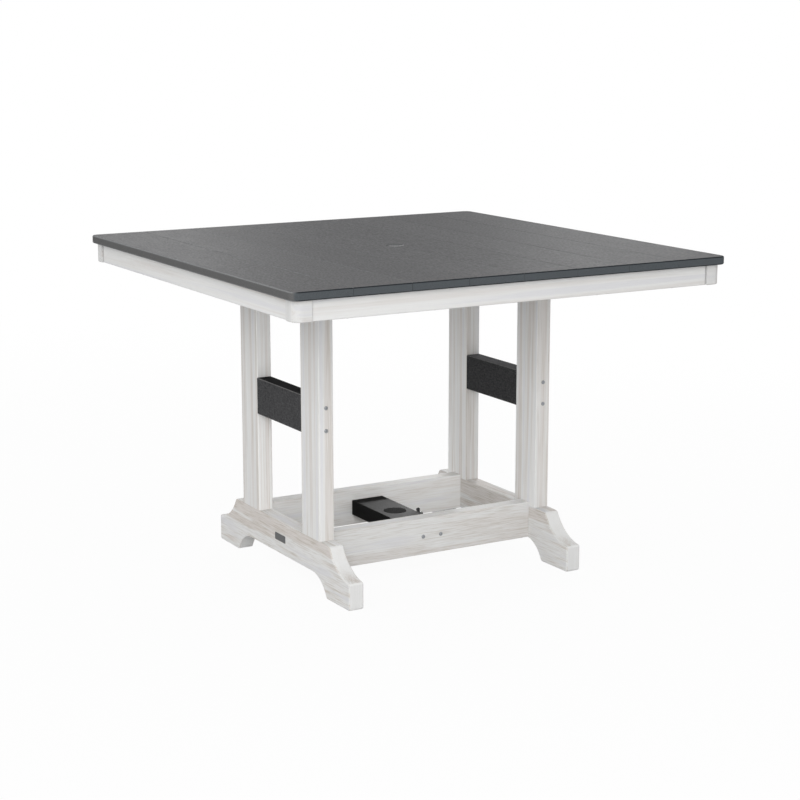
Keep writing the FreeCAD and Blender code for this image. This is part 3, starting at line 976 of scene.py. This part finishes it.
floorMesh = bpy.data.meshes.new("floor")
edge = stageKit["floorSize"]
floorCorners = [(-edge, -edge, 0), (edge, -edge, 0), (edge, edge, 0), (-edge, edge, 0)]
floorMesh.from_pydata(floorCorners, [], [(0, 1, 2, 3)])
floor = bpy.data.objects.new("floor", floorMesh)
floor.location.z = -stageKit["floorDrop"]
scene.collection.objects.link(floor)
floorFinish = bpy.data.materials.new("floorPaint")
floorFinish.use_nodes = True
tree = floorFinish.node_tree
tree.nodes.clear()
matt = put(tree, "ShaderNodeBsdfDiffuse", {"Color": stageKit["floorPaint"]})
glow = put(tree, "ShaderNodeEmission", {"Color": stageKit["white"], "Strength": 1.0})
reach = lengthOf(tree, surfaceSpot(tree))
distant = fade(tree, reach, stageKit["shadowReach"], stageKit["whiteReach"], 1 - stageKit["whiteShare"])
share = sums(tree, "MULTIPLY", whiteRays(tree), sums(tree, "ADD", distant, stageKit["whiteShare"]))
whole = put(tree, "ShaderNodeMixShader", {0: share, 1: matt.outputs[0], 2: glow.outputs[0]})
put(tree, "ShaderNodeOutputMaterial", {"Surface": whole.outputs[0]})
floorMesh.materials.append(floorFinish)

# Even white room light
room = bpy.data.worlds.new("whiteRoom")
room.use_nodes = True
tree = room.node_tree
tree.nodes.clear()
white, skyStrength = stageKit["white"], stageKit["skyStrength"]
lighting = put(tree, "ShaderNodeBackground", {"Color": white, "Strength": skyStrength})
backdrop = put(tree, "ShaderNodeBackground", {"Color": white, "Strength": 1.0})
both = put(tree, "ShaderNodeMixShader", {0: whiteRays(tree), 1: lighting.outputs[0], 2: backdrop.outputs[0]})
put(tree, "ShaderNodeOutputWorld", {"Surface": both.outputs[0]})
scene.world = room

# Soft lamps in front, low in front and on the left, and one from behind that leaves no glints.
# The last three give sheen and no fill: two for the tabletop, and a narrow one for the holder
lampKit = {
    "frontLamp": {"place": (-1.9, -3.3, 2.2), "aim": (0, 0, 0.4), "size": 2.2, "power": 60},
    "lowLamp": {"place": (-0.8, -3.6, 0.9), "aim": (0, 0, 0.35), "size": 1.4, "power": 11},
    "leftLamp": {"place": (-3.3, -0.2, 1.6), "aim": (0, 0, 0.4), "size": 2.0, "power": 18},
    "backLamp": {"place": (2.6, 2.69, 1.95), "aim": (0, 0, 0.3), "size": 2.8, "power": 64, "glint": False},
    "rightSheen": {"place": (2.6, 2.6, 2.0), "aim": (0, 0, 0.3), "size": 0.8, "power": 24.5, "fill": False},
    "leftSheen": {"place": (0.8, 3.5, 2.0), "aim": (0, 0, 0.3), "size": 0.8, "power": 27, "fill": False},
    "holderSheen": {
        "place": (1.0, 0.948, 0.7), "aim": (-0.02, 0.04, 0.111), "size": 0.14, "power": 1.65,
        "fill": False, "beam": 24,
    },
}
plainLamp = {"glint": True, "fill": True, "beam": 180}
for name, own in lampKit.items():
    kit = {**plainLamp, **own}
    lamp = bpy.data.lights.new(name, "AREA")
    lamp.shape = "SQUARE"
    lamp.size = kit["size"]
    lamp.energy = kit["power"]
    lamp.spread = math.radians(kit["beam"])
    lampStand = bpy.data.objects.new(name, lamp)
    lampStand.location = kit["place"]
    lampStand.visible_camera = False
    lampStand.visible_glossy = kit["glint"]
    lampStand.visible_diffuse = kit["fill"]
    beam = Vector(kit["aim"]) - Vector(kit["place"])
    lampStand.rotation_euler = beam.to_track_quat("-Z", "Y").to_euler()
    scene.collection.objects.link(lampStand)
print("floor and light set")

# Camera at the photograph's viewing angle
cameraKit = {
    "place": (-2.2305, -3.8687, 1.3335), "yaw": 30.127, "pitch": 11.928,
    "focalPixels": 1869.1, "imagePixels": 800, "sensorWidth": 36.0,
}
lens = bpy.data.cameras.new("camera")
lens.sensor_width = cameraKit["sensorWidth"]
lens.lens = cameraKit["focalPixels"] / cameraKit["imagePixels"] * lens.sensor_width
camera = bpy.data.objects.new("camera", lens)
camera.location = cameraKit["place"]
camera.rotation_euler = (math.radians(90 - cameraKit["pitch"]), 0, -math.radians(cameraKit["yaw"]))
scene.collection.objects.link(camera)
scene.camera = camera
scene.view_settings.view_transform = "Standard"
print("camera set")
